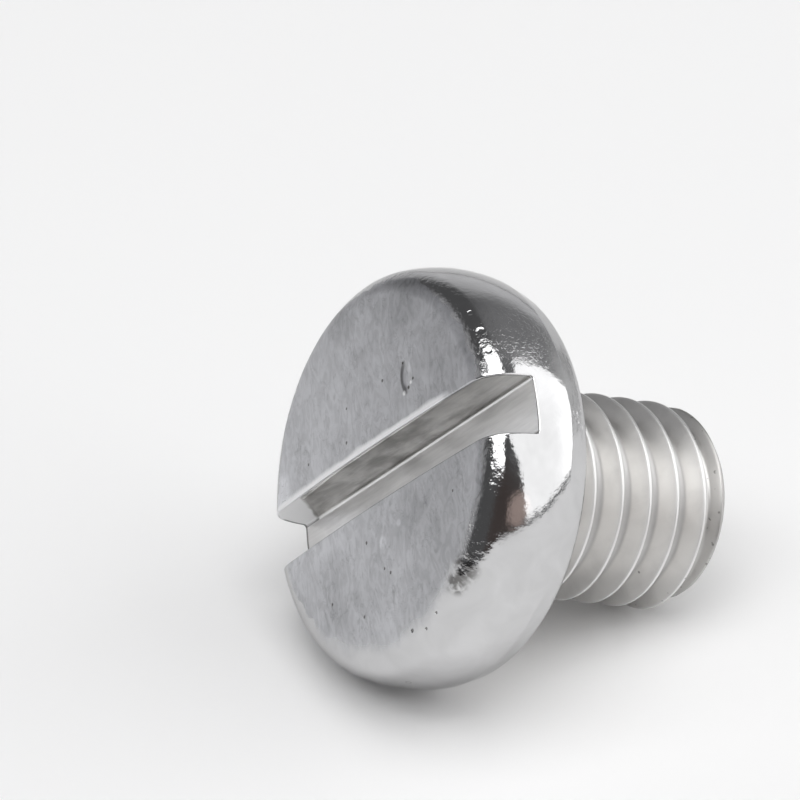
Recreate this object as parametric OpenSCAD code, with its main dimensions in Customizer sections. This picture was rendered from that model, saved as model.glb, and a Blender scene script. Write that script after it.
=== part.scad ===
// Slotted pan head machine screw, M5 x 6, turned on its side as it comes to rest on a table.
// Sizes are in millimetres. The origin is on the table, below the middle of the screw.

/* [Thread] */
// Diameter over the crests of the thread
thread_d = 5; // [4.8:0.05:5.2]
// Distance from one crest to the next along the screw
pitch = 0.8; // [0.7:0.05:0.9]
// Distance from the bearing face to the middle of a crest, on the side at crest_side
crest_z = 1.68; // [1.4:0.01:2.2]
// Direction from the axis in which crest_z is measured, from the slot
crest_side = -24.7; // [-180:0.1:180]
// Turns over which the groove rises out of the shank near the head
run_out = 0.6; // [0.4:0.05:0.9]

/* [Shank] */
// Length from the bearing face to the end
shank_l = 5.75; // [5.5:0.05:6.3]
// Diameter of the rolled blank, seen between the thread and the head
neck_d = 4.48; // [4.3:0.01:4.6]
// Length of the neck from the bearing face to the start of the thread
neck_l = 0.72; // [0.6:0.01:0.9]
// Radius of the fillet under the head
neck_r = 0.35; // [0.2:0.01:0.4]
// Diameter at the foot of the end's chamfer
end_d = 4.2; // [3.9:0.05:4.4]
// Length of the end's chamfer
end_l = 0.42; // [0.3:0.01:0.6]
// Radius between the end's chamfer and its flat face
end_r = 0.2; // [0.1:0.01:0.25]

/* [Head] */
// Largest diameter of the head
head_d = 9.88; // [9.6:0.02:10]
// Height of the head over the bearing face
head_h = 2.94; // [2.86:0.01:3]
// Height of the head's widest ring over the bearing face
widest_z = 1.36; // [1.2:0.01:1.5]
// Radius of the slight crown of the top
crown_r = 72; // [50:1:120]
// Radius of the shoulder between the top and the side
shoulder_r = 0.7; // [0.5:0.05:1]
// Radius of the barrel-shaped side, seen in section
side_r = 3.1; // [2.6:0.1:4]
// Height of the crease below which the side narrows towards the bearing face
crease_z = 0.70; // [0.6:0.02:0.76]
// Angle at which the side narrows below the crease
taper = 20; // [16:0.5:21]
// Radius of the edge beside the bearing face
edge_r = 0.45; // [0.3:0.05:0.5]

/* [Slot] */
// Width of the slot
slot_w = 1.38; // [1.26:0.01:1.51]
// Depth of the slot below the middle of the top
slot_t = 1.3; // [1.2:0.01:1.4]
// Distance of the slot's middle plane from the axis, as cut
slot_off = -0.1; // [-0.15:0.01:0.15]

/* [Rest] */
// Turn of the slot about the screw's own axis, as the screw lies
roll = -40.5; // [-180:0.5:180]

/* [Hidden] */
$fn = 96;

// Thread form: a 60 degree V with a crest an eighth of the pitch wide
FLANK = 30;
CREST_SHARE = 1 / 8;
DEPTH_SHARE = 0.6134;
steps = 48;
clear = 0.12;
skin = 0.02;
// How far a round stands proud of its neighbours, so that the curves cross and leave no gap
lap = 0.001;

crest_r = thread_d / 2;
root_r = crest_r - DEPTH_SHARE * pitch;
neck_rad = neck_d / 2;
head_rad = head_d / 2;

// A unit vector in the half section, at an angle from the head's axis; x is the radius, y the height
function dir(a) = [sin(a), cos(a)];
// The angle from the head's axis of the line from one point to another
function heading(from, to) = atan2(to[0] - from[0], to[1] - from[1]);
// Where two circles meet, on the right of the line from the first centre to the second
function meet(a, ra, b, rb) =
    let (d = norm(b - a), u = (b - a) / d, along = (d * d + ra * ra - rb * rb) / (2 * d))
    a + along * u + sqrt(ra * ra - along * along) * [u[1], -u[0]];

// Centres of the arcs of the head; each arc is tangent to its neighbours, except at the crease
side_c = [head_rad - side_r, widest_z];
crown_c = [0, head_h - crown_r];
shoulder_c = meet(crown_c, crown_r - shoulder_r, side_c, side_r - shoulder_r);
crease_r = side_c[0] + sqrt(side_r * side_r - pow(widest_z - crease_z, 2));
edge_z = edge_r * (1 - sin(taper));
edge_c = [crease_r - (crease_z - edge_z) * tan(taper) - edge_r * cos(taper), edge_r];
crown_a = heading(crown_c, shoulder_c);
shoulder_a = heading(side_c, shoulder_c);

// The end's round touches the chamfer and the flat end
chamfer_a = 90 + atan2(crest_r - end_d / 2, end_l);
end_c = [end_d / 2 - end_r * tan((180 - chamfer_a) / 2), end_r - shank_l];

// The screw lies on the edge of its head and on the last crest before the end's chamfer
flat_z = pitch * CREST_SHARE / 2;
down_z = crest_z - pitch * (180 - roll - crest_side) / 360;
last_z = down_z + floor((shank_l - end_l - flat_z - down_z) / pitch) * pitch + flat_z;
lean_r = edge_c[0] - crest_r;
lean_z = edge_c[1] + last_z;
tilt = acos(-edge_r / norm([lean_r, lean_z])) - atan2(lean_z, lean_r);
low = edge_c[0] * cos(tilt) - edge_c[1] * sin(tilt) + edge_r;
far_x = -end_c[1] * cos(tilt) + end_c[0] * sin(tilt) + end_r;
near_x = -shoulder_c[1] * cos(tilt) - shoulder_c[0] * sin(tilt) - shoulder_r;

// Half section of the head: a crowned top, a round shoulder, a barrel side, a narrower rim and a round edge
module head_section() {
    edge_top = edge_c + edge_r * dir(90 + taper);
    side_top = side_c + side_r * dir(shoulder_a);
    crown_end = crown_c + crown_r * dir(crown_a);
    polygon([[0, 0], [edge_c[0], 0], edge_top, [crease_r, crease_z], side_top, crown_end, [0, crown_end[1]]]);
    translate(edge_c) circle(edge_r + lap);
    intersection() {
        translate(side_c) circle(side_r);
        translate([side_c[0], crease_z]) square([side_r + 1, side_top[1] - crease_z]);
    }
    translate(shoulder_c) circle(shoulder_r + lap);
    intersection() {
        translate(crown_c) circle(crown_r, $fn = 720);
        translate([0, shoulder_c[1]]) square([crown_end[0], 2 * shoulder_r]);
    }
}

// Half section of the blank's shank: a fillet, the neck, the full diameter and a rounded chamfer
module shank_section() {
    thread_z = neck_l + (crest_r - neck_rad) / tan(FLANK);
    polygon([[0, -shank_l], [end_c[0], -shank_l], end_c + end_r * dir(chamfer_a), [crest_r, end_l - shank_l],
             [crest_r, -thread_z], [neck_rad, -neck_l], [neck_rad, 1], [0, 1]]);
    translate(end_c) circle(end_r + lap);
    difference() {
        translate([1, -neck_r]) square([neck_rad + neck_r - 1, 1 + neck_r]);
        translate([neck_rad + neck_r, -neck_r]) circle(neck_r + lap);
    }
}

// The groove between two crests, cut at one angle: points as radius and height, moved out by lift
function groove_ring(lift) =
    let (mouth = pitch * (1 - CREST_SHARE) / 2 + skin * tan(FLANK),
         foot = mouth - (crest_r + skin - root_r) * tan(FLANK))
    [[root_r + lift, -foot], [crest_r + skin + lift, -mouth], [crest_r + clear + lift, -mouth],
     [crest_r + clear + lift, mouth], [crest_r + skin + lift, mouth], [root_r + lift, foot]];

// The groove as one swept solid, a right-hand helix that starts at the head and runs off the end
module groove() {
    depth = crest_r - root_r + 2 * skin;
    first = neck_l + pitch / 4;
    turns = (shank_l - first) / pitch + 1;
    count = ceil(turns * steps);
    sides = len(groove_ring(0));
    // the groove's middle is half a pitch past a crest, and moves a pitch along the screw in each turn
    start_a = crest_side + (crest_z + pitch / 2 - first) / pitch * 360;
    points = [for (i = [0:count])
        let (a = start_a - i * 360 / steps, lift = depth * max(0, 1 - i / steps / run_out))
        for (p = groove_ring(lift)) [p[0] * cos(a), p[0] * sin(a), p[1] - first - i * pitch / steps]];
    walls = [for (i = [0:count - 1], s = [0:sides - 1])
        let (a = i * sides + s, b = i * sides + (s + 1) % sides, c = b + sides, d = a + sides)
        each [[a, c, b], [a, d, c]]];
    caps = [[for (s = [0:sides - 1]) s], [for (s = [sides - 1:-1:0]) count * sides + s]];
    polyhedron(points, concat(walls, caps));
}

// The slot, cut straight across the top
module slot() {
    translate([-head_d, slot_off - slot_w / 2, head_h - slot_t]) cube([2 * head_d, slot_w, 2 * slot_t]);
}

// The screw on its own axis, with the head up and the bearing face at height 0
module upright() {
    difference() {
        rotate_extrude() {
            head_section();
            shank_section();
        }
        slot();
        groove();
    }
}

module screw() {
    color([0.72, 0.73, 0.75])
        translate([-(near_x + far_x) / 2, 0, low]) rotate([0, tilt - 90, 0]) rotate([0, 0, roll]) upright();
}

screw();
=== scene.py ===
"""Slotted pan head screw: the dressed part, its floor, its light and its camera."""
import math

import bmesh
import bpy
import numpy as np
from mathutils import Matrix, Vector


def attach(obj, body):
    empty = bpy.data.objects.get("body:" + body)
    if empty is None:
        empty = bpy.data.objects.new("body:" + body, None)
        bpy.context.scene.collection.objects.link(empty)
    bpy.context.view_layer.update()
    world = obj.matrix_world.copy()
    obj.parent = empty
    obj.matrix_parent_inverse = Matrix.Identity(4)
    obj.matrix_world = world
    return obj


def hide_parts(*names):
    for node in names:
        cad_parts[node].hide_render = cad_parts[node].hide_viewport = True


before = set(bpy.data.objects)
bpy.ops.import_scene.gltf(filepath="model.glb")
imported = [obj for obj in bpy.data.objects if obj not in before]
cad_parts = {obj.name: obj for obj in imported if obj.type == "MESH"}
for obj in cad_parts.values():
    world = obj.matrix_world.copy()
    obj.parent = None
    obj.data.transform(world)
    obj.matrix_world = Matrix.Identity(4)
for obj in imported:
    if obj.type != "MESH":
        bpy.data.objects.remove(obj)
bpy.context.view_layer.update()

MM = 0.001

# Driving sizes in millimetres and degrees, as in the part's source. The screw's own frame has the head up,
# the bearing face at height 0 and the slot along x.
THREAD_D, PITCH, CREST_Z, CREST_SIDE = 5.0, 0.8, 1.68, -24.7
SHANK_L, NECK_D, NECK_R = 5.75, 4.48, 0.35
END_D, END_L, END_R = 4.2, 0.42, 0.2
HEAD_D, HEAD_H, WIDEST_Z, CROWN_R = 9.88, 2.94, 1.36, 72.0
SHOULDER_R, SIDE_R, EDGE_R = 0.7, 3.1, 0.45
CREASE_Z, TAPER = 0.70, math.radians(20)
SLOT_W, SLOT_T, SLOT_OFF = 1.38, 1.3, -0.1
ROLL = -40.5

# What only the dressed part has, in millimetres: rounds on the crease, on the slot's mouth and at the foot of
# its walls, a narrower flat of the crests, and rounds on the crests and in the roots
CREASE_ROUND = 0.4
SLOT_EDGE = 0.05
SLOT_FILLET = 0.09
CREST_SEEN = 0.06
CREST_ROUND = 0.03
ROOT_ROUND = 0.115

CREST_RAD, NECK_RAD, HEAD_RAD = THREAD_D / 2, NECK_D / 2, HEAD_D / 2
# The form of a metric thread
THREAD_DEEP, CREST_FLAT, FLANK = 0.6134 * PITCH, PITCH / 8, math.radians(30)
ROOT_RAD = CREST_RAD - THREAD_DEEP


def meet(a, ra, b, rb):
    """Where two circles meet, on the right of the line from the first centre to the second."""
    line = b - a
    far = np.linalg.norm(line)
    u = line / far
    along = (far * far + ra * ra - rb * rb) / (2 * far)
    return a + along * u + math.sqrt(ra * ra - along * along) * np.array([u[1], -u[0]])


def heading(start, end):
    """The angle from the head's axis of the line from one point of the half section to another."""
    return math.atan2(end[0] - start[0], end[1] - start[1])


def toward(angle):
    """A unit vector in the half section; x is the radius, y the height."""
    return np.array([math.sin(angle), math.cos(angle)])


# The arcs of the half section, each tangent to its neighbours, except at the crease of the head's side
SIDE_C = np.array([HEAD_RAD - SIDE_R, WIDEST_Z])
CROWN_C = np.array([0.0, HEAD_H - CROWN_R])
SHOULDER_C = meet(CROWN_C, CROWN_R - SHOULDER_R, SIDE_C, SIDE_R - SHOULDER_R)
CREASE = np.array([SIDE_C[0] + math.sqrt(SIDE_R ** 2 - (WIDEST_Z - CREASE_Z) ** 2), CREASE_Z])
EDGE_Z = EDGE_R * (1 - math.sin(TAPER))
EDGE_C = np.array([CREASE[0] - (CREASE_Z - EDGE_Z) * math.tan(TAPER) - EDGE_R * math.cos(TAPER), EDGE_R])
CROWN_A = heading(CROWN_C, SHOULDER_C)
SHOULDER_A = heading(SIDE_C, SHOULDER_C)
RIM_A = math.pi / 2 + TAPER
CHAMFER_A = math.pi / 2 + math.atan2(CREST_RAD - END_D / 2, END_L)
END_C = np.array([END_D / 2 - END_R * math.tan((math.pi - CHAMFER_A) / 2), END_R - SHANK_L])

# How the screw lies: on the edge of its head and on its last crest
DOWN_Z = CREST_Z - PITCH * (180 - ROLL - CREST_SIDE) / 360
LAST_Z = DOWN_Z + math.floor((SHANK_L - END_L - CREST_FLAT / 2 - DOWN_Z) / PITCH) * PITCH + CREST_FLAT / 2
LEAN = np.array([EDGE_C[0] - CREST_RAD, EDGE_C[1] + LAST_Z])
TILT = math.acos(-EDGE_R / np.linalg.norm(LEAN)) - math.atan2(LEAN[1], LEAN[0])
LOW = EDGE_C[0] * math.cos(TILT) - EDGE_C[1] * math.sin(TILT) + EDGE_R
FAR_X = -END_C[1] * math.cos(TILT) + END_C[0] * math.sin(TILT) + END_R
NEAR_X = -SHOULDER_C[1] * math.cos(TILT) - SHOULDER_C[0] * math.sin(TILT) - SHOULDER_R
PLACE = (Matrix.Translation((-(NEAR_X + FAR_X) / 2, 0, LOW))
         @ Matrix.Rotation(TILT - math.pi / 2, 4, "Y")
         @ Matrix.Rotation(math.radians(ROLL), 4, "Z"))
# From the screw's own frame, in millimetres, to the scene, in metres
TO_SCENE = Matrix.Scale(MM, 4) @ PLACE

# How finely the surface is divided
TOP_ROWS, SHOULDER_ROWS, BARREL_ROWS, CORNER_ROWS = 30, 18, 8, 6
ARC_COLUMNS, FLOOR_COLUMNS, ROUND_STEPS, WALL_ROWS = 150, 12, 5, 6
SIDE_ROWS, CREASE_ROWS, EDGE_ROWS, FILLET_ROWS, RIM_ROWS = 12, 4, 10, 8, 6
TURN_STEPS, CREST_STEPS, FLANK_STEPS, ROOT_STEPS = 180, 5, 6, 6

FLOOR_Z = HEAD_H - SLOT_T

# The finishes of the faces, in the order of the materials
HEAD, SLOT, SHANK = range(3)


class Surface:
    """Points and faces of a mesh that is put together from patches whose borders coincide."""

    def __init__(self):
        self.points = []
        self.faces = []
        self.zones = []
        self.zone = HEAD

    def add_face(self, face):
        """A face with the finish that is set now."""
        self.faces.append(face)
        self.zones.append(self.zone)

    def grid(self, rows, closed=False, flip=False):
        """Quads between rows of points; closed joins the last column to the first."""
        rows = np.asarray(rows, float)
        count, wide = rows.shape[:2]
        base = len(self.points)
        self.points.extend(rows.reshape(-1, 3))
        for i in range(count - 1):
            for j in range(wide if closed else wide - 1):
                k = (j + 1) % wide
                row, after = base + i * wide, base + (i + 1) * wide
                face = [row + j, row + k, after + k, after + j]
                self.add_face(face[::-1] if flip else face)

    def stitch(self, outer, inner):
        """Triangles between two closed rings of points around the axis."""
        rings = []
        for points in (outer, inner):
            base = len(self.points)
            ring = sorted((math.atan2(p[1], p[0]) % math.tau, base + i) for i, p in enumerate(points))
            rings.append(ring + [(ring[0][0] + math.tau, ring[0][1])])
            self.points.extend(points)
        at = [0, 0]
        while at[0] < len(rings[0]) - 1 or at[1] < len(rings[1]) - 1:
            ahead = [ring[i + 1][0] if i < len(ring) - 1 else math.inf for ring, i in zip(rings, at)]
            step = 0 if ahead[0] <= ahead[1] else 1
            face = [rings[0][at[0]][1], rings[1][at[1]][1], rings[step][at[step] + 1][1]]
            at[step] += 1
            self.add_face(face)


def side_radius(z):
    """Radius of the barrel-shaped side at a height."""
    return SIDE_C[0] + np.sqrt(SIDE_R ** 2 - (np.asarray(z) - WIDEST_Z) ** 2)


def crown_height(r):
    """Height of the crowned top at a radius."""
    return CROWN_C[1] + np.sqrt(CROWN_R ** 2 - np.asarray(r) ** 2)


def arc(centre, radius, start, end, count):
    """Radius and height of the points of an arc in the half section."""
    return [centre + radius * toward(a) for a in np.linspace(start, end, count + 1)]


def mouth(half_w):
    """One long edge of the slot's mouth, from the middle of the top to the floor's end.

    Gives the points beside the edge, as radius, height and distance from the axis plane, and the points on
    it, as x, y and z."""
    beside, edge = [], []
    out = half_w + SLOT_EDGE
    crown_end = CROWN_R * math.sin(CROWN_A)
    for x in np.linspace(0, math.sqrt(crown_end ** 2 - out ** 2), TOP_ROWS + 1):
        r = math.hypot(x, out)
        beside.append((r, float(crown_height(r)), out))
        edge.append((x, half_w, float(crown_height(math.hypot(x, half_w)))))
    corner_z = FLOOR_Z + SLOT_FILLET
    corner_a = math.asin((corner_z - WIDEST_Z) / SIDE_R)
    steep = arc(SHOULDER_C, SHOULDER_R, CROWN_A, SHOULDER_A, SHOULDER_ROWS)[1:]
    steep += arc(SIDE_C, SIDE_R, SHOULDER_A, math.pi / 2 - corner_a, BARREL_ROWS)[1:]
    for r, z in steep:
        beside.append((r, z, out))
        edge.append((math.sqrt(r * r - half_w * half_w), half_w, z))
    for a in np.linspace(0, math.pi / 2, CORNER_ROWS + 1)[1:]:
        down, across = math.sin(a), math.cos(a)
        z = corner_z - (SLOT_FILLET + SLOT_EDGE) * down
        beside.append((float(side_radius(z)), z, half_w - SLOT_FILLET + (SLOT_FILLET + SLOT_EDGE) * across))
        z = corner_z - SLOT_FILLET * down
        y = half_w - SLOT_FILLET + SLOT_FILLET * across
        edge.append((math.sqrt(float(side_radius(z)) ** 2 - y * y), y, z))
    return beside, edge


# How far the slot reaches from the axis plane, towards +y and towards -y
HALVES = (SLOT_W / 2 + SLOT_OFF, SLOT_W / 2 - SLOT_OFF)
# Where the points of the floor's ends lie across it
FLOOR_YS = np.linspace(HALVES[0] - SLOT_FILLET, SLOT_FILLET - HALVES[1], FLOOR_COLUMNS + 1)[1:-1]
# Where the wall at +y, its fillet, the floor and the other fillet end, along the slot's cross-section
WALL_V = 0.0
ROUND_V = WALL_V + SLOT_FILLET * math.pi / 2
FLAT_V = ROUND_V + SLOT_W - 2 * SLOT_FILLET
LAST_V = FLAT_V + SLOT_FILLET * math.pi / 2


def unroll(y, z):
    """Distance along the slot's cross-section, from the foot of the wall at +y."""
    top, low = HALVES
    lift = FLOOR_Z + SLOT_FILLET - z
    if y >= top - SLOT_FILLET:
        if lift <= 0:
            return WALL_V + lift
        return WALL_V + SLOT_FILLET * math.atan2(lift, y - (top - SLOT_FILLET))
    if y <= SLOT_FILLET - low:
        if lift <= 0:
            return LAST_V - lift
        return LAST_V - SLOT_FILLET * math.atan2(lift, (SLOT_FILLET - low) - y)
    return ROUND_V + (top - SLOT_FILLET - y)


def fold(v):
    """The inverse of unroll: y and z of a distance along the slot's cross-section."""
    top, low = HALVES
    corner_z = FLOOR_Z + SLOT_FILLET
    if v <= WALL_V:
        return top, corner_z - v
    if v <= ROUND_V:
        a = v / SLOT_FILLET
        return top - SLOT_FILLET + SLOT_FILLET * math.cos(a), corner_z - SLOT_FILLET * math.sin(a)
    if v <= FLAT_V:
        return top - SLOT_FILLET - (v - ROUND_V), FLOOR_Z
    if v <= LAST_V:
        a = (LAST_V - v) / SLOT_FILLET
        return SLOT_FILLET - low - SLOT_FILLET * math.cos(a), corner_z - SLOT_FILLET * math.sin(a)
    return -low, corner_z + (v - LAST_V)


def mouth_loop():
    """The slot's mouth as closed loops: beside it on the head, on it, and below it on the slot's own faces.

    The last one is given a second time, unrolled: as x and the distance along the cross-section."""
    upper, lower = mouth(HALVES[0]), mouth(HALVES[1])

    def quarter(rows, x_sign, y_sign):
        """A long edge on one side of the middle: the points beside it and on it."""
        beside, edge = rows
        outside = [(x_sign * math.sqrt(max(r * r - y * y, 0)), y_sign * y, z) for r, z, y in beside]
        return outside, [(x_sign * x, y_sign * y, z) for x, y, z in edge]

    def floor_end(x_sign, ys):
        """The short edge at one end of the floor: the points beside it and on it."""
        return [[(x_sign * math.sqrt(float(side_radius(z)) ** 2 - y * y), y, z) for y in ys]
                for z in (FLOOR_Z - SLOT_EDGE, FLOOR_Z)]

    parts = [quarter(upper, 1, 1), floor_end(1, FLOOR_YS),
             [q[::-1] for q in quarter(lower, 1, -1)], [q[1:] for q in quarter(lower, -1, -1)],
             floor_end(-1, FLOOR_YS[::-1]), [q[:0:-1] for q in quarter(upper, -1, 1)]]
    outside = [p for part in parts for p in part[0]]
    edge = [p for part in parts for p in part[1]]
    flat = np.array([(x, unroll(y, z)) for x, y, z in edge])
    along = np.roll(flat, -1, 0) - np.roll(flat, 1, 0)
    along /= np.linalg.norm(along, axis=1)[:, None]
    inner = flat + SLOT_EDGE * np.stack([-along[:, 1], along[:, 0]], 1)
    below = [(x, *fold(v)) for x, v in inner]
    return np.array(outside), np.array(edge), np.array(below), inner


def add_slot(surface):
    """The rounded mouth, the walls, the fillets and the floor of the slot."""
    outside, edge, below, inner = mouth_loop()
    rows = []
    for t in np.linspace(0, 1, ROUND_STEPS + 1):
        rows.append((1 - t) ** 2 * outside + 2 * t * (1 - t) * edge + t * t * below)
    surface.zone = HEAD
    surface.grid(rows, closed=True, flip=True)
    surface.zone = SLOT
    long = TOP_ROWS + SHOULDER_ROWS + BARREL_ROWS + CORNER_ROWS
    gap = FLOOR_COLUMNS - 1
    # The loop's points in each quarter, from the middle of the top to the floor, and at the floor's ends
    right_up = list(range(0, long + 1))
    right_end = list(range(long + 1, long + 1 + gap))
    right_low = list(range(long + gap + 1 + long, long + gap, -1))
    left_low = list(range(right_low[0], right_low[0] + 1 + long))
    left_end = list(range(left_low[-1] + 1, left_low[-1] + 1 + gap))
    left_up = [0] + list(range(len(inner) - 1, left_end[-1], -1))
    fillet = np.linspace(0, 1, ROUND_STEPS + 1) * (ROUND_V - WALL_V)
    floor = np.linspace(ROUND_V, FLAT_V, FLOOR_COLUMNS + 1)[1:-1]
    nodes = np.concatenate([fillet, floor, FLAT_V + fillet])

    def across(a, b, ends):
        """A line of points over wall, floor and wall; at the floor's end they are the loop's own."""
        (xa, va), (xb, vb) = inner[a], inner[b]
        wall_a = np.linspace(va, max(va, WALL_V), WALL_ROWS + 1)[:-1]
        wall_b = np.linspace(min(vb, LAST_V), vb, WALL_ROWS + 1)[1:]
        v = np.concatenate([wall_a, np.clip(nodes, va, vb), wall_b])
        x = xa + (xb - xa) * (v - va) / (vb - va)
        if ends:
            first = WALL_ROWS + len(fillet)
            x[first:first + gap] = [inner[i][0] for i in ends]
            v[first:first + gap] = [inner[i][1] for i in ends]
        return [(px, *fold(pv)) for px, pv in zip(x, v)]

    right, left = (right_up, right_low, right_end, False), (left_up, left_low, left_end[::-1], True)
    for up, low, end, flip in (right, left):
        lines = [across(a, b, end if i == long else None) for i, (a, b) in enumerate(zip(up, low))]
        surface.grid(lines, flip=flip)


def crease_centre():
    """Centre of the small round that softens the crease: it touches the barrel side and the narrower rim."""
    outward = toward(RIM_A)
    down = np.array([-math.sin(TAPER), -math.cos(TAPER)])
    start = CREASE - CREASE_ROUND * outward - SIDE_C
    along = start @ down
    reach = math.sqrt(along ** 2 - start @ start + (SIDE_R - CREASE_ROUND) ** 2)
    return SIDE_C + start - (reach + along) * down


def add_head(surface):
    """The top and shoulder on both sides of the slot, then the whole rings down to the bearing face.

    Gives the lowest ring."""
    surface.zone = HEAD
    ring = []
    for half_w, turn in ((HALVES[0], 0.0), (HALVES[1], math.pi)):
        rows = []
        for r, z, y in mouth(half_w)[0]:
            start = math.asin(min(1, y / r))
            angles = turn + np.linspace(start, math.pi - start, ARC_COLUMNS + 1)
            rows.append([(r * math.cos(a), r * math.sin(a), z) for a in angles])
        surface.grid(rows, flip=True)
        ring.append([math.atan2(p[1], p[0]) % math.tau for p in rows[-1]])
    z = FLOOR_Z - SLOT_EDGE
    end = [math.asin(y / float(side_radius(z))) for y in FLOOR_YS]
    angles = [*ring[0], *[math.pi - a for a in end], *ring[1], *[math.tau + a for a in end[::-1]]]
    start = math.pi / 2 - math.asin((z - WIDEST_Z) / SIDE_R)
    crease_c = crease_centre()
    crease_a = heading(SIDE_C, crease_c)
    section = arc(SIDE_C, SIDE_R, start, crease_a, SIDE_ROWS)
    section += arc(crease_c, CREASE_ROUND, crease_a, RIM_A, CREASE_ROWS)[1:]
    section += arc(EDGE_C, EDGE_R, RIM_A, math.pi, EDGE_ROWS)
    rows = [[(r * math.cos(a), r * math.sin(a), h) for a in angles] for r, h in section]
    surface.grid(rows, closed=True, flip=True)
    return rows[-1]


def thread_section():
    """Half of one thread from the crest's middle to the root's: distance along the screw, and radius."""
    slope = math.tan(FLANK)
    lean = math.pi / 2 - FLANK
    corner = CREST_SEEN / 2
    tangent = CREST_ROUND * math.tan(lean / 2)
    start = np.array([corner - tangent, CREST_RAD - CREST_ROUND])
    crest = [start + CREST_ROUND * toward(a) for a in np.linspace(0, lean, CREST_STEPS + 1)]
    foot = PITCH / 2
    root_corner = corner + (CREST_RAD - ROOT_RAD) * slope
    tangent = ROOT_ROUND * math.tan(lean / 2)
    centre = np.array([root_corner + tangent, ROOT_RAD + ROOT_ROUND])
    root = [centre - ROOT_ROUND * toward(a) for a in np.linspace(lean, 0, ROOT_STEPS, endpoint=False)]
    flank = [crest[-1] + t * (root[0] - crest[-1]) for t in np.linspace(0, 1, FLANK_STEPS + 1)[1:-1]]
    return np.array([(0, CREST_RAD), *crest, *flank, *root, (foot, ROOT_RAD)])


# Depths under the bearing face where the thread begins and where it rises from the neck, the heights over the
# end where its groove fades out, and the rim where the chamfer's round begins
THREAD_TOP = 0.55
FADE_IN = (0.62, 1.25)
FADE_OUT = (0.34, 0.12)
RIM_RAD = END_C[0] + END_R * math.sin(CHAMFER_A)
RIM_DEPTH = -END_C[1] - END_R * math.cos(CHAMFER_A)
# The rings of the flat end face, as shares of its radius
FACE_RINGS = (0.97, 0.5, 0.0)


def smooth(a, b, x):
    """A smooth step from 0 at a to 1 at b."""
    t = np.clip((x - a) / (b - a), 0, 1)
    return t * t * (3 - 2 * t)


def thread_radius(depth, r):
    """The thread's radius r, risen out of the neck near the head and held by the chamfer near the end."""
    r = NECK_RAD + (r - NECK_RAD) * smooth(*FADE_IN, depth)
    left = SHANK_L - depth
    cone = END_D / 2 + (CREST_RAD - END_D / 2) * left / END_L
    lowest = ROOT_RAD + (RIM_RAD - ROOT_RAD) * smooth(*FADE_OUT, left)
    r = np.minimum(np.maximum(r, lowest), np.minimum(cone, CREST_RAD))
    return np.where(depth <= THREAD_TOP, NECK_RAD, np.where(depth >= RIM_DEPTH, RIM_RAD, r))


def circle(r, z):
    """A ring of points around the screw's axis."""
    angles = np.linspace(0, math.tau, TURN_STEPS, endpoint=False)
    return np.column_stack([r * np.cos(angles), r * np.sin(angles), np.full(TURN_STEPS, z)])


def thread_columns():
    """Lines of points along the screw, one for each step of a turn, that follow the thread's helix.

    The last line is the first one again, a pitch nearer to the head, so that the crests run on."""
    half = thread_section()
    profile = np.vstack([half[:0:-1] * (-1, 1), half[:-1]])
    first = (CREST_Z + PITCH * CREST_SIDE / 360 - THREAD_TOP) % PITCH + THREAD_TOP - 2 * PITCH
    turns = math.ceil((SHANK_L - first) / PITCH) + 2
    share = np.arange(TURN_STEPS)[:, None, None] / TURN_STEPS
    depth = first + PITCH * (np.arange(turns)[None, :, None] - share) + profile[None, None, :, 0]
    r = thread_radius(depth, np.broadcast_to(profile[:, 1], depth.shape))
    angle = math.tau * share
    points = np.stack([r * np.cos(angle), r * np.sin(angle), -np.clip(depth, THREAD_TOP, RIM_DEPTH)], 3)
    lines = points.reshape(TURN_STEPS, -1, 3)
    wide = len(profile)
    after = np.vstack([np.repeat(lines[0][:1], wide, 0), lines[0][:-wide]])
    return np.concatenate([lines, after[None]])


def add_shank(surface, bearing_ring):
    """The bearing face, the fillet, the neck, the thread, the end's rounded chamfer and its flat face."""
    surface.zone = SHANK
    fillet = [circle(NECK_RAD + NECK_R - NECK_R * math.sin(a), -NECK_R + NECK_R * math.cos(a))
              for a in np.linspace(0, math.pi / 2, FILLET_ROWS + 1)]
    surface.stitch(bearing_ring, fillet[0])
    surface.grid([*fillet, circle(NECK_RAD, -THREAD_TOP)], closed=True, flip=True)
    surface.grid(thread_columns())
    rim = [circle(*(END_C + END_R * toward(a))) for a in np.linspace(CHAMFER_A, math.pi, RIM_ROWS + 1)]
    face = [circle(END_C[0] * share, -SHANK_L) for share in FACE_RINGS]
    surface.grid([*rim, *face], closed=True, flip=True)


# Points nearer to each other than this, in metres, are one
MERGE = 1e-8
# Stands in for a length of zero, where something is divided by it
TINY = 1e-30


def weighted_normals(mesh):
    """Vertex normals weighted by the area of the faces, so that flat faces stay flat beside small rounds."""
    count = len(mesh.polygons)
    normal, area = np.empty(count * 3), np.empty(count)
    mesh.polygons.foreach_get("normal", normal)
    mesh.polygons.foreach_get("area", area)
    loops, total = np.empty(len(mesh.loops), int), np.empty(count, int)
    mesh.loops.foreach_get("vertex_index", loops)
    mesh.polygons.foreach_get("loop_total", total)
    weighted = np.repeat(normal.reshape(-1, 3) * area[:, None], total, 0)
    out = np.zeros((len(mesh.vertices), 3))
    np.add.at(out, loops, weighted)
    return out / np.maximum(np.linalg.norm(out, axis=1), TINY)[:, None]


def show(name, data, location=(0, 0, 0)):
    """A new object in the scene."""
    item = bpy.data.objects.new(name, data)
    item.location = location
    bpy.context.scene.collection.objects.link(item)
    return item


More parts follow.
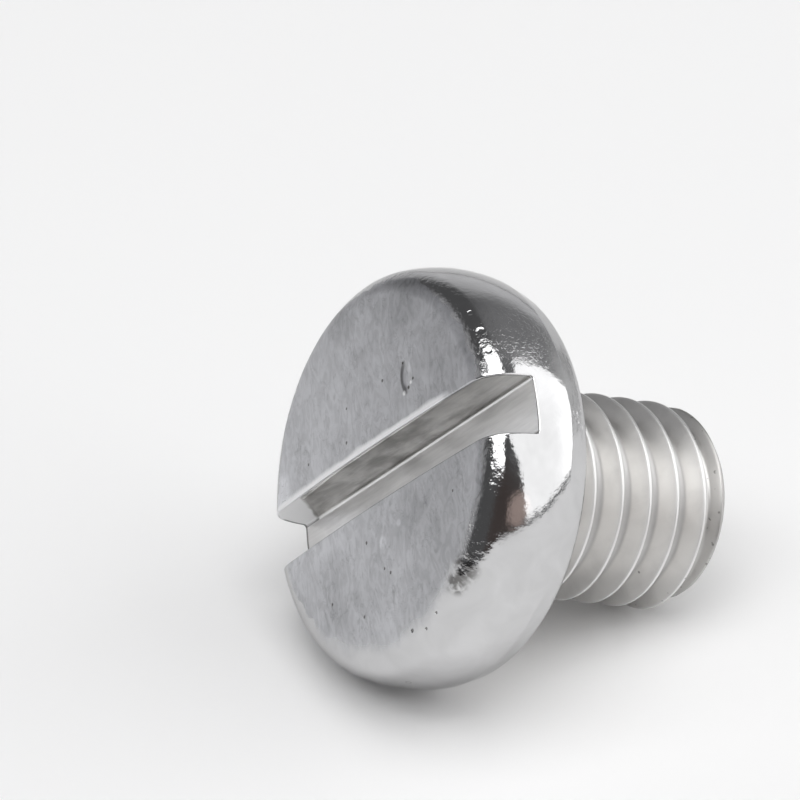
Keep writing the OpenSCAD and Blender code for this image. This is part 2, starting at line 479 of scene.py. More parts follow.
def make_screw():
    """The whole screw as one closed mesh, in its place on the floor."""
    surface = Surface()
    add_slot(surface)
    add_shank(surface, add_head(surface))
    mesh = bpy.data.meshes.new("screw_surface")
    mesh.from_pydata([tuple(p) for p in surface.points], [], surface.faces)
    mesh.polygons.foreach_set("material_index", surface.zones)
    mesh.transform(TO_SCENE)
    work = bmesh.new()
    work.from_mesh(mesh)
    bmesh.ops.remove_doubles(work, verts=work.verts, dist=MERGE)
    work.to_mesh(mesh)
    work.free()
    mesh.shade_smooth()
    mesh.normals_split_custom_set_from_vertices(weighted_normals(mesh))
    piece = show("screw_surface", mesh)
    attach(piece, "root")
    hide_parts("screw")
    return piece


screw = make_screw()


# The photograph's view: a long lens that looks down on the lying screw, in millimetres and degrees
CAMERA_AT, CAMERA_AIM, CAMERA_ROLL = (-41.622, -79.80, 60.568), (-2.102, 1.70, 5.962), -0.10
LENS, SENSOR = 202.5, 36.0
# The nearest and the farthest that the camera sees, in metres
CLIP = (0.01, 10)


def make_camera():
    """The scene's camera."""
    data = bpy.data.cameras.new("camera")
    data.lens, data.sensor_width = LENS, SENSOR
    data.clip_start, data.clip_end = CLIP
    camera = show("camera", data, Vector(CAMERA_AT) * MM)
    look = (Vector(CAMERA_AIM) - Vector(CAMERA_AT)).to_track_quat("-Z", "Y").to_matrix()
    camera.rotation_euler = (look @ Matrix.Rotation(math.radians(CAMERA_ROLL), 3, "Z")).to_euler()
    bpy.context.scene.camera = camera


make_camera()


# Floor and light, in metres and degrees. Azimuth 0 is +Y, 90 is +X, and the camera stands at about -153.
FLOOR_SIZE = 3.0
FLOOR_COLOUR, FLOOR_ROUGH, FLOOR_SHINE = (0.93, 0.93, 0.93, 1), 0.9, 0.1
WHITE = (1, 1, 1, 1)
# How far the lamps are from the screw; the upright ones are that far sideways
LAMP_AWAY = 0.40
# Upright panels of light: name, azimuth and width, lowest and highest elevation, radiance
PANELS = (
    ("right_softbox", 122, 75, 2.5, 60, 1.35),
    ("upper_softbox", 100, 35, 65.5, 74, 1.4),
    ("front_softbox", -139, 58, 42, 63, 2.3),
    ("left_softbox", -93, 46, 43, 64, 2.3),
)
# The panel overhead: name, azimuth and elevation, half its width as an angle, radiance
CEILING = ("ceiling_softbox", -165, 80, 22, 2.35)
ROOM_GREY = (0.095, 0.095, 0.097, 1)
# Soft patches of the room: azimuth and elevation, how far from there a patch begins to fade and has faded,
# and its colour
PATCHES = (
    (30, -14, 8, 52, (0.77, 0.77, 0.78, 1)),
    (75, 35, 14, 40, (0.22, 0.22, 0.225, 1)),
    (90, -8, 14, 40, (0.66, 0.66, 0.66, 1)),
    (-50, 15, 10, 38, (0.42, 0.42, 0.43, 1)),
    (-170, 12, 14, 38, (0.070, 0.058, 0.055, 1)),
    (165, 10, 3, 12, (0.42, 0.33, 0.30, 1)),
)


def direction(azimuth, elevation):
    """A unit vector from the screw."""
    a, e = math.radians(azimuth), math.radians(elevation)
    return Vector((math.sin(a) * math.cos(e), math.cos(a) * math.cos(e), math.sin(e)))


def make_lamp(name, wide, high, radiance, place, turn):
    """A rectangle of light of this radiance; the camera doesn't see it."""
    data = bpy.data.lights.new(name, "AREA")
    data.shape = "RECTANGLE"
    data.size, data.size_y = wide, high
    data.energy = radiance * math.pi * wide * high
    lamp = show(name, data, place)
    lamp.rotation_euler = turn
    lamp.visible_camera = False


def make_panel(name, azimuth, wide, low, high, radiance):
    """An upright panel that covers these angles as the screw sees it."""
    low_z, high_z = (LAMP_AWAY * math.tan(math.radians(e)) for e in (low, high))
    place = direction(azimuth, 0) * LAMP_AWAY + Vector((0, 0, (low_z + high_z) / 2))
    turn = direction(azimuth, 0).to_track_quat("Z", "Y").to_euler()
    make_lamp(name, 2 * LAMP_AWAY * math.tan(math.radians(wide) / 2), high_z - low_z, radiance, place, turn)


def make_ceiling(name, azimuth, elevation, half, radiance):
    """A square of light overhead that faces the screw."""
    toward_lamp = direction(azimuth, elevation)
    wide = 2 * LAMP_AWAY * math.tan(math.radians(half))
    turn = toward_lamp.to_track_quat("Z", "Y").to_euler()
    make_lamp(name, wide, wide, radiance, toward_lamp * LAMP_AWAY, turn)


def make_world():
    """A dim room with soft patches that the metal reflects, and white where the camera sees it."""
    world = bpy.data.worlds.new("room")
    world.use_nodes = True
    bpy.context.scene.world = world
    nodes, links = world.node_tree.nodes, world.node_tree.links
    nodes.clear()
    coord = nodes.new("ShaderNodeTexCoord")
    room = nodes.new("ShaderNodeBackground")
    room.inputs["Color"].default_value = ROOM_GREY
    below = None
    for azimuth, elevation, inner, outer, colour in PATCHES:
        near = nodes.new("ShaderNodeVectorMath")
        near.operation = "DOT_PRODUCT"
        near.inputs[1].default_value = direction(azimuth, elevation)
        links.new(coord.outputs["Generated"], near.inputs[0])
        share = nodes.new("ShaderNodeMapRange")
        share.interpolation_type = "SMOOTHSTEP"
        share.inputs["From Min"].default_value = math.cos(math.radians(outer))
        share.inputs["From Max"].default_value = math.cos(math.radians(inner))
        links.new(near.outputs["Value"], share.inputs["Value"])
        patch = nodes.new("ShaderNodeMix")
        patch.data_type = "RGBA"
        patch.inputs[6].default_value = ROOM_GREY
        patch.inputs[7].default_value = colour
        links.new(share.outputs[0], patch.inputs[0])
        if below:
            links.new(below, patch.inputs[6])
        below = patch.outputs[2]
    links.new(below, room.inputs["Color"])
    white = nodes.new("ShaderNodeBackground")
    white.inputs["Color"].default_value = WHITE
    path = nodes.new("ShaderNodeLightPath")
    mix = nodes.new("ShaderNodeMixShader")
    links.new(path.outputs["Is Camera Ray"], mix.inputs["Fac"])
    links.new(room.outputs[0], mix.inputs[1])
    links.new(white.outputs[0], mix.inputs[2])
    output = nodes.new("ShaderNodeOutputWorld")
    links.new(mix.outputs[0], output.inputs["Surface"])


def make_floor():
    """A wide matt white floor."""
    mesh = bpy.data.meshes.new("floor")
    half = FLOOR_SIZE / 2
    corners = [(-half, -half, 0), (half, -half, 0), (half, half, 0), (-half, half, 0)]
    mesh.from_pydata(corners, [], [(0, 1, 2, 3)])
    floor = show("floor", mesh)
    material = bpy.data.materials.new("floor")
    material.use_nodes = True
    shader = material.node_tree.nodes["Principled BSDF"]
    shader.inputs["Base Color"].default_value = FLOOR_COLOUR
    shader.inputs["Roughness"].default_value = FLOOR_ROUGH
    shader.inputs["Specular IOR Level"].default_value = FLOOR_SHINE
    mesh.materials.append(material)


for panel in PANELS:
    make_panel(*panel)
make_ceiling(*CEILING)
make_world()
make_floor()


# How much of its light steel gives back near grazing, compared with a plain mirror
GRAZING = (0.72, 0.72, 0.72, 1)
# The share of a spot's radius within which the spot has its full strength
SPOT_CORE = 0.4
STEEL = (0.61, 0.61, 0.615, 1)
MATT = (0.50, 0.504, 0.523, 1)
# The dark colour of grime, which some marks use for painted shade and painted dark reflections
GRIME_AND_SHADE = (0.10, 0.095, 0.09, 1)
POLISHED = (0.85, 0.85, 0.86, 1)


class Finish:
    """A steel material, and short ways to add nodes to it.

    Lengths are millimetres in the screw's own frame. A share goes from 0 to 1."""

    def __init__(self, name):
        self.material = bpy.data.materials.new(name)
        self.material.use_nodes = True
        self.tree = self.material.node_tree
        self.shader = self.tree.nodes["Principled BSDF"]
        self.shader.inputs["Metallic"].default_value = 1
        self.shader.inputs["Specular Tint"].default_value = GRAZING
        place, turn, size = TO_SCENE.inverted().decompose()
        coord = self.tree.nodes.new("ShaderNodeTexCoord").outputs["Object"]
        self.at = self.add("Mapping", {"Vector": coord, "Location": place, "Rotation": turn.to_euler(),
                                       "Scale": size})
        self.x, self.y, self.z = self.tree.nodes.new("ShaderNodeSeparateXYZ").outputs
        self.tree.links.new(self.at, self.x.node.inputs[0])
        squares = self.gain(self.x, self.x, self.calc("MULTIPLY", self.y, self.y))
        self.r = self.calc("SQRT", squares)
        self.bumps = []

    def put(self, socket, value):
        """Links an input to another node's output, or sets it to a plain value."""
        if isinstance(value, bpy.types.NodeSocket):
            self.tree.links.new(value, socket)
        else:
            socket.default_value = value

    def add(self, kind, inputs, output=0, **settings):
        """One of the outputs of a new node that has these inputs and settings."""
        node = self.tree.nodes.new("ShaderNode" + kind)
        for key, value in settings.items():
            setattr(node, key, value)
        for key, value in inputs.items():
            self.put(node.inputs[key], value)
        return node.outputs[output]

    def calc(self, operation, *values):
        """The result of a sum, a product and so on."""
        return self.add("Math", dict(enumerate(values)), operation=operation)

    def minus(self, a, b):
        """a - b."""
        return self.calc("SUBTRACT", a, b)

    def apart(self, a, b):
        """How far two numbers are from each other."""
        return self.calc("ABSOLUTE", self.minus(a, b))

    def gain(self, value, by, plus):
        """value * by + plus."""
        return self.calc("MULTIPLY_ADD", value, by, plus)

    def both(self, first, *others):
        """The product of shares, which is 1 only where every one of them is."""
        for other in others:
            first = self.calc("MULTIPLY", first, other)
        return first

    def step(self, value, start, end):
        """A smooth step from 0 at start to 1 at end, and the other way round where end is the lower one."""
        low, high = sorted((start, end))
        ends = {"To Min": 0.0, "To Max": 1.0} if start < end else {"To Min": 1.0, "To Max": 0.0}
        return self.add("MapRange", {"Value": value, "From Min": low, "From Max": high, **ends},
                        interpolation_type="SMOOTHSTEP")

    def mix(self, share, a, b):
        """A number from a to b."""
        return self.add("Mix", {0: share, 2: a, 3: b}, data_type="FLOAT")

    def tint(self, share, a, b):
        """A colour from a to b."""
        return self.add("Mix", {0: share, 6: a, 7: b}, output=2, data_type="RGBA")

    def scaled(self, colour, factor):
        """A colour made darker or paler."""
        return self.add("VectorMath", {0: colour, "Scale": factor}, operation="SCALE")

    def grimed_and_shaded(self, colour, share, strength):
        """A colour darkened by this strength where the share is 1: grime, and in some marks painted shade."""
        return self.tint(self.calc("MULTIPLY", share, strength), colour, GRIME_AND_SHADE)

    def noise(self, scale, detail=2.0, distortion=0.0, squash=(1, 1, 1)):
        """Noise from 0 to 1 with this many bumps to the millimetre, drawn out where squash is below 1."""
        place = self.add("VectorMath", {0: self.at, 1: squash}, operation="MULTIPLY")
        return self.add("TexNoise", {"Vector": place, "Scale": scale, "Detail": detail,
                                     "Distortion": distortion})

    def swing(self, texture):
        """The noise of a texture, from -0.5 to 0.5."""
        return self.minus(self.noise(*texture), 0.5)

    def blotches(self, texture, limits):
        """0 where the noise of a texture is below its limits, and 1 where it is above them."""
        return self.step(self.noise(*texture), *limits)

    def varied(self, texture, least, more):
        """A number that varies with a texture, from least to least + more."""
        return self.gain(self.noise(*texture), more, least)

    def far(self, point, squash=(1, 1, 1)):
        """Distance from a point."""
        moved = self.add("VectorMath", {0: self.at, 1: point}, operation="SUBTRACT")
        squashed = self.add("VectorMath", {0: moved, 1: squash}, operation="MULTIPLY")
        return self.add("VectorMath", {0: squashed}, output=1, operation="LENGTH")

    def spots(self, places):
        """1 inside each spot: x, y, z and radius, with soft edges."""
        total = None
        for x, y, z, radius in places:
            spot = self.step(self.far((x, y, z)), radius, SPOT_CORE * radius)
            total = self.calc("MAXIMUM", total, spot) if total else spot
        return total

    def shades(self, places, total):
        """Soft round patches added to a number: x, y, z, radius and strength."""
        for x, y, z, radius, strength in places:
            total = self.gain(self.step(self.far((x, y, z)), radius, 0.0), strength, total)
        return total

    def bump(self, share, height):
        """Raises the surface by this height where the share is 1."""
        self.bumps.append(self.calc("MULTIPLY", share, height))

    def done(self, colour, roughness):
        """The material, with everything on its shader."""
        self.put(self.shader.inputs["Base Color"], colour)
        self.put(self.shader.inputs["Roughness"], roughness)
        total = self.bumps[0]
        for height in self.bumps[1:]:
            total = self.calc("ADD", total, height)
        normal = self.add("Bump", {"Height": total, "Distance": MM, "Strength": 1.0})
        self.put(self.shader.inputs["Normal"], normal)
        return self.material


# A texture is what noise takes: bumps to the millimetre, detail, distortion and how it is drawn out.
# LIMITS, and pairs named X, Y, Z or R, say where a step starts and where it ends. MORE is what a texture or
# a mark adds to a shade, a width or a roughness, DARK the strength of a darkening, which is grime in some
# marks and painted shade in others, and HIGH, DEEP and DROP are heights.

# The punch's matt print on the top: its middle and radius, and how far its border wavers
PRINT_CENTRE, PRINT_RAD = (0.05, 0.20, 0), 4.33
WAVER, PRINT_WAVER = (1.6, 4), 0.30
# Half its border's width at the upper right, where it is crisp, and at the lower left, where it fades out
PRINT_CRISP, PRINT_SOFT, PRINT_SOFTENS_Y = 0.04, 0.28, (-2.2, -3.6)
PRINT_Z = (2.4, 2.6)
# The shade of the print: its clouds, the strokes and nicks in it, and thin swirling lines in some places
CLOUD, CLOUD_LEAST, CLOUD_MORE = (0.9, 3, 0.6), 0.76, 0.46
STROKES, STROKES_LIMITS, STROKES_MORE = (3.4, 5, 2.0, (1, 0.45, 1)), (0.38, 0.64), 0.15
NICKS, NICKS_LIMITS, NICKS_MORE = (5.0, 4, 1.8, (1, 0.35, 1)), (0.56, 0.72), -0.16
SWIRL, SWIRL_LIMITS, SWIRL_MORE = (2.3, 3, 1.2), (0.026, 0.0), -0.14
SWIRL_PLACES, SWIRL_PLACES_LIMITS = (1.1, 2), (0.42, 0.58)
# Broad patches of painted shade and painted light on the print: x, y, z, radius and strength
PAINTED_SHADE_PATCHES = ((2.4, -2.2, 2.88, 2.0, -0.15), (3.3, 1.4, 2.85, 1.7, -0.13), (-1.9, -2.5, 2.87, 1.5, -0.14),
          (1.2, -3.4, 2.85, 1.6, -0.08), (1.8, 3.4, 2.83, 1.3, -0.20), (-0.7, 4.0, 2.82, 0.9, -0.25),
          (-3.5, -1.2, 2.85, 1.2, 0.08), (1.2, -1.5, 2.92, 1.2, -0.13))
# Small pale marks, and a paler patch of painted light with scratches in it: x, y, z and radius
PALE_SPOTS, PALE_MORE = ((0.08, -1.79, 2.92, 0.20), (0.81, -1.57, 2.92, 0.12)), 0.26
PAINTED_PALE_PATCH, PAINTED_PALE_MORE = (-3.95, 0.95, 2.80, 0.62), 0.30
SCRATCHES, SCRATCHES_LIMITS, SCRATCHES_MORE = (16.0, 3, 0.6, (0.30, 1, 1)), (0.60, 0.68), -0.45


def print_shade(f, strokes):
    """How pale the matt print is, with broad patches of painted shade and light and one painted pale patch.
    """
    swirl = f.step(f.calc("ABSOLUTE", f.swing(SWIRL)), *SWIRL_LIMITS)
    swirl = f.both(swirl, f.blotches(SWIRL_PLACES, SWIRL_PLACES_LIMITS))
    shade = f.varied(CLOUD, CLOUD_LEAST, CLOUD_MORE)
    shade = f.gain(strokes, STROKES_MORE, shade)
    shade = f.gain(f.blotches(NICKS, NICKS_LIMITS), NICKS_MORE, shade)
    shade = f.gain(swirl, SWIRL_MORE, shade)
    # Broad patches of painted shade and painted light
    shade = f.shades(PAINTED_SHADE_PATCHES, shade)
    shade = f.gain(f.spots(PALE_SPOTS), PALE_MORE, shade)
    scratches = f.blotches(SCRATCHES, SCRATCHES_LIMITS)
    # A paler patch of painted light, with scratches in it
    return f.gain(f.spots((PAINTED_PALE_PATCH,)), f.gain(scratches, SCRATCHES_MORE, PAINTED_PALE_MORE), shade)


# The rubbed lip above the slot: where it lies and fades out, its width and how far it is worn down
LIP_Y, LIP_SIDE_Y, LIP_X, LIP_Z = HALVES[0] + SLOT_EDGE, (0, 0.2), (3.4, 2.8), (2.6, 2.75)
LIP_WIDTH, LIP_LEAST, LIP_MORE, LIP_DROP = (1.4, 3), 0.026, 0.208, 0.036


def rubbed_lip(f):
    """1 on the lip above the slot."""
    width = f.varied(LIP_WIDTH, LIP_LEAST, LIP_MORE)
    lip = f.step(f.calc("DIVIDE", f.minus(f.y, LIP_Y), width), 1.0, 0.0)
    return f.both(lip, f.step(f.z, *LIP_Z), f.step(f.y, *LIP_SIDE_Y), f.step(f.x, *LIP_X))


# A thin dark line painted along the edge of the slot's left end, a painted dark reflection: how near to the
# edge it lies, and how far past the slot's walls and floor it goes on the rounded edge
REFLECTION_LINE_INWARD, REFLECTION_LINE_X, REFLECTION_LINE_Z = (0.119, 0.068), (-4.0, -4.3), (2.50, 2.25)
REFLECTION_LINE_UPPER_Y = (HALVES[0] + 0.13, HALVES[0] + 0.07)
REFLECTION_LINE_LOWER_Y = (-HALVES[1] - 0.10, -HALVES[1] - 0.04)
REFLECTION_LINE_FLOOR_Z = (FLOOR_Z - 0.10, FLOOR_Z - 0.04)
# How dark the painted dark reflections are: the line at the slot's left end, and the band beside the print
PAINTED_REFLECTION_DARK = 0.8


def end_reflection_line(f, inward):
    """1 in the painted dark line, for a place this far inward of the slot's edge."""
    return f.both(f.step(inward, *REFLECTION_LINE_INWARD), f.step(f.x, *REFLECTION_LINE_X), f.step(f.z, *REFLECTION_LINE_Z))


def edge_reflection_line(f):
    """1 in the part of the painted dark line that lies on the rounded edge."""
    inward = f.calc("MINIMUM", f.apart(f.y, HALVES[0]), f.apart(f.z, FLOOR_Z))
    return f.both(end_reflection_line(f, inward), f.step(f.y, *REFLECTION_LINE_UPPER_Y), f.step(f.y, *REFLECTION_LINE_LOWER_Y),
                  f.step(f.z, *REFLECTION_LINE_FLOOR_Z))


# Small marks on the head: x, y, z and radius
PITS = ((0.84, 1.95, 2.91, 0.05), (-0.74, 1.87, 2.91, 0.04), (-0.88, 1.06, 2.93, 0.05),
        (-2.62, 1.18, 2.88, 0.04), (-0.56, -1.56, 2.92, 0.05), (0.22, -2.57, 2.89, 0.045),
        (0.01, -2.40, 2.90, 0.04), (0.69, -4.14, 2.82, 0.06), (1.16, -4.25, 2.76, 0.045),
        (1.65, -4.04, 2.78, 0.04), (-1.08, -3.19, 2.86, 0.05), (2.97, -1.59, 2.86, 0.04),
        (-2.33, -2.45, 2.86, 0.045))
PIT_DARK, PIT_DEEP = 0.8, 0.02
DENTS, DENT_DEEP = ((4.04, 2.38, 2.52, 0.10), (4.33, 1.82, 2.51, 0.12), (4.53, 1.25, 2.51, 0.10)), 0.012
# A small ring low on the side: its middle, and where its line fades outward and inward
RING_MARK, RING_OUTER_R, RING_INNER_R, RING_DARK = (-0.87, -4.795, 2.0), (0.09, 0.0675), (0.036, 0.0585), 0.5
# A mottled dark band painted beside the print's border, at the lower right: a painted dark reflection
REFLECTION_BAND_SPOTS = ((2.85, -3.40, 2.70, 0.45), (2.50, -3.64, 2.74, 0.36))
REFLECTION_BAND_MOTTLE, REFLECTION_BAND_LIMITS = (5.5, 5, 0.3), (0.32, 0.56)
# A gouge in the print, a narrow oval, with painted shade on its left wall and dark or bright spots along it.
GOUGE, GOUGE_SQUASH, GOUGE_R, GOUGE_DEEP = (1.78, 1.66, 2.90), (0.60, 0.33, 1.0), (0.15, 0.05), 0.03
WALL_OUTER_R, WALL_INNER_R, WALL_X, GOUGE_WALL_SHADE = (0.15, 0.12), (0.06, 0.10), (1.84, 1.70), 0.6
GOUGE_DARK = ((1.83, 1.38, 2.90, 0.06), (2.03, 1.53, 2.90, 0.05), (1.70, 2.04, 2.89, 0.05))
GOUGE_BRIGHT = ((1.93, 1.47, 2.90, 0.06), (1.64, 1.31, 2.91, 0.08))


def head_marks(f, colour, pits, gouge):
    """The head's colour: pits, ring mark, gouge, painted shade in the gouge and painted dark reflections."""
    ring = f.far(RING_MARK)
    ring = f.both(f.step(ring, *RING_OUTER_R), f.step(ring, *RING_INNER_R))
    reflection_band = f.both(f.spots(REFLECTION_BAND_SPOTS), f.blotches(REFLECTION_BAND_MOTTLE, REFLECTION_BAND_LIMITS))
    # Painted shade on the gouge's left wall
    wall = f.both(f.step(gouge, *WALL_OUTER_R), f.step(gouge, *WALL_INNER_R), f.step(f.x, *WALL_X))
    # The band beside the print and the line at the slot's left end are painted dark reflections
    for share, strength in ((pits, PIT_DARK), (ring, RING_DARK), (reflection_band, PAINTED_REFLECTION_DARK), (edge_reflection_line(f), PAINTED_REFLECTION_DARK),
                            (wall, GOUGE_WALL_SHADE), (f.spots(GOUGE_DARK), 1.0)):
        colour = f.grimed_and_shaded(colour, share, strength)
    return f.tint(f.spots(GOUGE_BRIGHT), colour, POLISHED)


# The shade of the bright steel of the shoulder and the side, and how rough the head is
SHINE, SHINE_LEAST, SHINE_MORE = (1.1, 5, 0.8), 0.85, 0.30
HEAD_ROUGH, HEAD_ROUGH_LEAST, HEAD_ROUGH_MORE, MATT_ROUGH_MORE = (3.0, 3), 0.05, 0.06, 0.26
# A flecked place on the side: its middle, where it fades out, how rough it is, and its flecks
FLECKED, FLECKED_R, FLECKED_ROUGH = (4.60, 1.75, 1.60), (1.25, 0.40), 0.20
FLECKS, FLECKS_LIMITS, FLECKS_HIGH = (11.0, 3), (0.48, 0.64), 0.0025
# Broad waves and grain all over the head, the strokes in the print, and its edge
WAVES, WAVES_HIGH, GRAIN, GRAIN_HIGH, STROKES_HIGH = (2.5, 5), 0.006, (9.0, 3), 0.0022, 0.0012
PRINT_EDGE_R, PRINT_HIGH = (PRINT_RAD + 0.10, PRINT_RAD - 0.25), 0.005
# Ripples between the print and the shoulder
RIPPLES, RIPPLES_HIGH, RIPPLES_BORDER_R = (5.5, 4), 0.018, (PRINT_RAD, PRINT_RAD + 0.08)
RIPPLES_R, RIPPLES_Y = (4.85, 4.6), (-3.9, -2.9)


def head_steel():
    """The head: a matt bluish print of the punch on top, and a mirror-like shoulder and side."""
    f = Finish("head_steel")
    border = f.gain(f.swing(WAVER), -2 * PRINT_WAVER, f.far(PRINT_CENTRE, (1, 1, 0)))
    half = f.mix(f.step(f.y, *PRINT_SOFTENS_Y), PRINT_CRISP, PRINT_SOFT)
    inside = f.calc("DIVIDE", f.minus(PRINT_RAD, border), half)
    matt = f.both(f.step(inside, -1.0, 1.0), f.step(f.z, *PRINT_Z))
    strokes = f.blotches(STROKES, STROKES_LIMITS)
    lip, pits, gouge = rubbed_lip(f), f.spots(PITS), f.far(GOUGE, GOUGE_SQUASH)
    bright = f.scaled(STEEL[:3], f.varied(SHINE, SHINE_LEAST, SHINE_MORE))
    colour = f.tint(matt, bright, f.scaled(MATT[:3], print_shade(f, strokes)))
    colour = head_marks(f, f.tint(lip, colour, POLISHED), pits, gouge)

    flecked = f.step(f.far(FLECKED), *FLECKED_R)
    roughness = f.gain(matt, MATT_ROUGH_MORE, f.varied(HEAD_ROUGH, HEAD_ROUGH_LEAST, HEAD_ROUGH_MORE))
    roughness = f.mix(flecked, roughness, FLECKED_ROUGH)
    beside = f.both(f.step(border, *RIPPLES_BORDER_R), f.step(f.r, *RIPPLES_R), f.step(f.y, *RIPPLES_Y))
    f.bump(f.both(strokes, matt), STROKES_HIGH)
    f.bump(f.noise(*WAVES), WAVES_HIGH)
    f.bump(f.noise(*GRAIN), GRAIN_HIGH)
    f.bump(f.both(f.swing(RIPPLES), beside), RIPPLES_HIGH)
    f.bump(f.both(f.blotches(FLECKS, FLECKS_LIMITS), flecked), FLECKS_HIGH)
    f.bump(f.step(border, *PRINT_EDGE_R), PRINT_HIGH)
    f.bump(pits, -PIT_DEEP)
    f.bump(f.spots(DENTS), -DENT_DEEP)
    f.bump(lip, -LIP_DROP)
    f.bump(f.step(gouge, *GOUGE_R), -GOUGE_DEEP)
    return f.done(colour, roughness)


SLOT_WALL = (0.76, 0.75, 0.73, 1)
SLOT_FLOOR = (0.87, 0.87, 0.875, 1)
SLOT_FLOOR_Z = (FLOOR_Z + 0.06, FLOOR_Z + 0.01)
# The floor is duller towards its left end
SLOT_END, SLOT_END_X, SLOT_END_DULL = (0.42, 0.41, 0.40, 1), (-3.0, -4.6), 0.5
# Smudges on the walls, which fade out at the right end, and their strength at the right and at the left
SMUDGES, SMUDGES_LIMITS, SMUDGES_X = (1.8, 4, 0.4, (0.45, 1, 1)), (0.28, 0.76), (4.4, 3.0)
SMUDGES_RIGHT_DARK, SMUDGES_LEFT_DARK, SMUDGES_DARK_X = 0.72, 0.70, (1.0, -3.0)
# The saw's streaks
STREAKS, STREAKS_LEAST, STREAKS_MORE, STREAKS_HIGH = (11.0, 3, 0.4, (0.10, 1, 1)), 0.80, 0.36, 0.0012
# The upper wall is rubbed along its mouth: above this height, and further down towards the left
RUB_TOP, RUB_DEEP, RUB_X, RUB_WALL_Y = HEAD_H - 0.1, 0.18, (-1.0, -4.2), (0.52, 0.58)
# Its outer corner at the left end is torn off: where that starts and how fast it widens to the left
RUB_CORNER, RUB_WIDENS = -3.3, 1.05
# How steep the rubbed and torn part is, and how softly it begins
RUB_SLOPE, RUB_SOFT = 2.8, 0.06
# The pale steel of that part, whose edge is ragged
TORN, TORN_LIMITS, TORN_ROUGH = (0.95, 0.95, 0.955, 1), (0.0, 0.12), 0.60
RAGGED, RAGGED_BY = (2.6, 4), 0.20
SLOT_WAVES, SLOT_WAVES_HIGH = (3.0, 3), 0.002
SLOT_ROUGH, SLOT_ROUGH_LEAST, SLOT_ROUGH_MORE = (4.0, 3), 0.26, 0.12


def rubbed_wall(f):
    """How far a place on the upper wall lies above the line from which the wall is rubbed or torn off."""
    corner = f.calc("MAXIMUM", f.minus(RUB_CORNER, f.x), 0.0)
    deep = f.gain(corner, RUB_WIDENS, f.calc("MULTIPLY", f.step(f.x, *RUB_X), RUB_DEEP))
    above = f.calc("SMOOTH_MAX", f.minus(f.z, f.minus(RUB_TOP, deep)), 0.0, RUB_SOFT)
    return f.both(above, f.step(f.y, *RUB_WALL_Y))


def slot_steel():
    """The sawn slot: a satin floor, and duller walls with smudges and the saw's streaks."""
    f = Finish("slot_steel")
    on_floor = f.step(f.z, *SLOT_FLOOR_Z)
    streaks = f.noise(*STREAKS)
    smudge = f.both(f.blotches(SMUDGES, SMUDGES_LIMITS), f.step(f.x, *SMUDGES_X))
    dark = f.mix(f.step(f.x, *SMUDGES_DARK_X), SMUDGES_RIGHT_DARK, SMUDGES_LEFT_DARK)
    colour = f.tint(on_floor, f.grimed_and_shaded(SLOT_WALL, smudge, dark), SLOT_FLOOR)
    colour = f.scaled(colour, f.gain(streaks, STREAKS_MORE, STREAKS_LEAST))
    colour = f.tint(f.both(on_floor, f.step(f.x, *SLOT_END_X), SLOT_END_DULL), colour, SLOT_END)

    above = rubbed_wall(f)
    ragged = f.gain(f.noise(*RAGGED), -RAGGED_BY, f.calc("ADD", above, RAGGED_BY / 2))
    torn = f.step(ragged, *TORN_LIMITS)
    colour = f.tint(torn, colour, TORN)
    flare = f.minus(SIDE_R ** 2, f.calc("POWER", f.minus(f.z, WIDEST_Z), 2.0))
    inward = f.minus(f.calc("ADD", f.calc("SQRT", flare), SIDE_C[0]), f.r)
    # The painted dark line along the edge of the slot's left end: a painted dark reflection
    colour = f.grimed_and_shaded(colour, end_reflection_line(f, inward), PAINTED_REFLECTION_DARK)
    f.bump(above, -RUB_SLOPE)
    f.bump(streaks, STREAKS_HIGH)
    f.bump(f.noise(*SLOT_WAVES), SLOT_WAVES_HIGH)
    roughness = f.mix(torn, f.varied(SLOT_ROUGH, SLOT_ROUGH_LEAST, SLOT_ROUGH_MORE), TORN_ROUGH)
    return f.done(colour, roughness)


SHANK_STEEL = (0.78, 0.77, 0.755, 1)
DULL, DULL_LIMITS, DULL_DARK = (1.3, 4, 0.3), (0.45, 0.75), 0.12
CREST_STEEL, CREST_R, CREST_ROUGH = (0.80, 0.795, 0.79, 1), (CREST_RAD - 0.06, CREST_RAD - 0.01), 0.46
# The roots are painted darker than the flanks: painted shade in the thread's grooves
ROOT_SHADED_STEEL, ROOT_R, ROOT_ROUGH = (0.64, 0.635, 0.63, 1), (ROOT_RAD + 0.12, ROOT_RAD + 0.03), 0.60
ROOT_Z = (-5.34, -5.24)
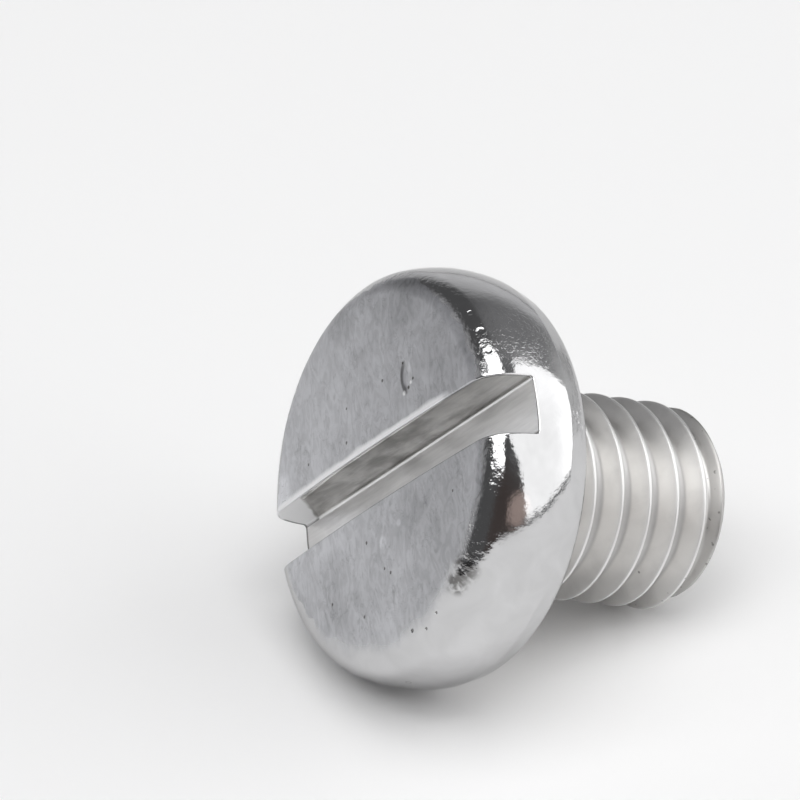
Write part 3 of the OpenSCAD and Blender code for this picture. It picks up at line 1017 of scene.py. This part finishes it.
# The chamfer and the flat face of the end are rougher, and painted darker: painted shade over their
# reflection
END_Z, END_PAINTED_SHADE, END_ROUGH = (-5.28, -5.36), 0.72, 0.48
# Specks all over the end, and single pits: x, y, z and radius
SPECKS, SPECKS_LIMITS, SPECKS_Z, SPECKS_DARK = (7.0, 2), (0.68, 0.74), (-4.8, -5.0), 0.6
SHANK_PITS = ((1.60, -1.55, -5.52, 0.05), (2.05, -0.90, -5.48, 0.045), (1.20, -1.90, -5.57, 0.05),
              (0.64, -2.06, -3.94, 0.05))
SHANK_GRAIN, SHANK_GRAIN_HIGH = (9.0, 4), 0.0015
SHANK_ROUGH, SHANK_ROUGH_LEAST, SHANK_ROUGH_MORE = (5.0, 3), 0.30, 0.10


def shank_steel():
    """The rolled thread and the neck: satin, with rougher crests and roots and specks near the end."""
    f = Finish("shank_steel")
    crest = f.step(f.r, *CREST_R)
    root = f.both(f.step(f.r, *ROOT_R), f.step(f.z, *ROOT_Z))
    end = f.step(f.z, *END_Z)
    specks = f.both(f.blotches(SPECKS, SPECKS_LIMITS), f.step(f.z, *SPECKS_Z))
    colour = f.grimed_and_shaded(SHANK_STEEL, f.blotches(DULL, DULL_LIMITS), DULL_DARK)
    # Painted shade in the roots
    colour = f.tint(root, f.tint(crest, colour, CREST_STEEL), ROOT_SHADED_STEEL)
    # Painted shade on the chamfer and the end face
    colour = f.scaled(colour, f.mix(end, 1.0, END_PAINTED_SHADE))
    colour = f.grimed_and_shaded(colour, f.calc("MAXIMUM", specks, f.spots(SHANK_PITS)), SPECKS_DARK)
    f.bump(f.noise(*SHANK_GRAIN), SHANK_GRAIN_HIGH)
    roughness = f.mix(end, f.varied(SHANK_ROUGH, SHANK_ROUGH_LEAST, SHANK_ROUGH_MORE), END_ROUGH)
    return f.done(colour, f.mix(root, f.mix(crest, roughness, CREST_ROUGH), ROOT_ROUGH))


for finish in (head_steel, slot_steel, shank_steel):
    screw.data.materials.append(finish())

bpy.context.scene.view_settings.view_transform = "Standard"
